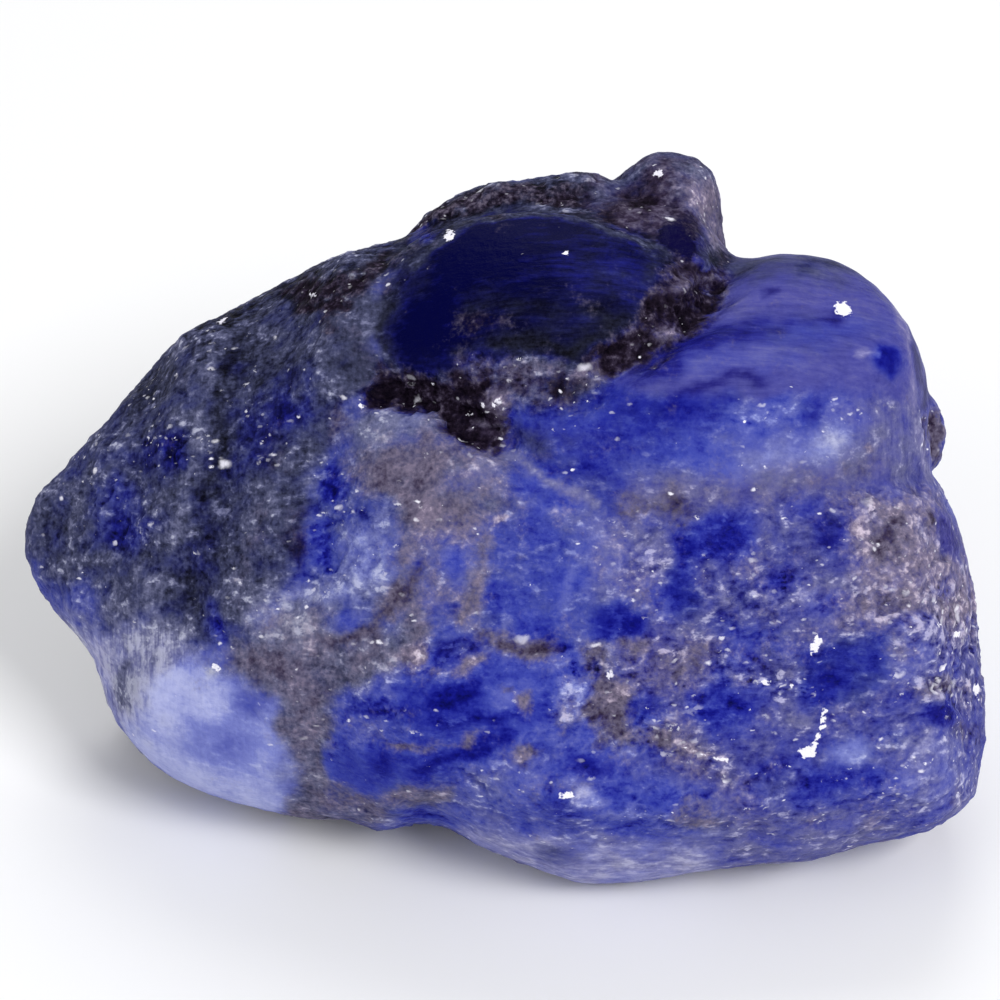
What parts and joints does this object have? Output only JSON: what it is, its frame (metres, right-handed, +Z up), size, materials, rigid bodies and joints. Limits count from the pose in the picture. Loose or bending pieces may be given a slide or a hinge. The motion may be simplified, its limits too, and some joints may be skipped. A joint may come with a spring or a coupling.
{
  "type": "rough tanzanite crystal fragment",
  "caption": "Unpolished blue-violet gem crystal fragment with broken cleavage faces and a dark crusted side, lying on a flat face.",
  "frame": {"origin": "middle of the bounding box, on the flat face that the stone rests on", "axes": "+Z up from the resting face, +X along the stone's length towards its blunt end, +Y away from the side that the picture shows"},
  "size_m": [0.03, 0.019, 0.0173],
  "materials": {
    "tanzanite": "rough broken crystal, royal blue to violet with brown-grey veins, glossy windows and a near-black granular crust"
  },
  "bodies": {
    "root": {"tanzanite_fragment": "tanzanite"}
  },
  "joints": []
}
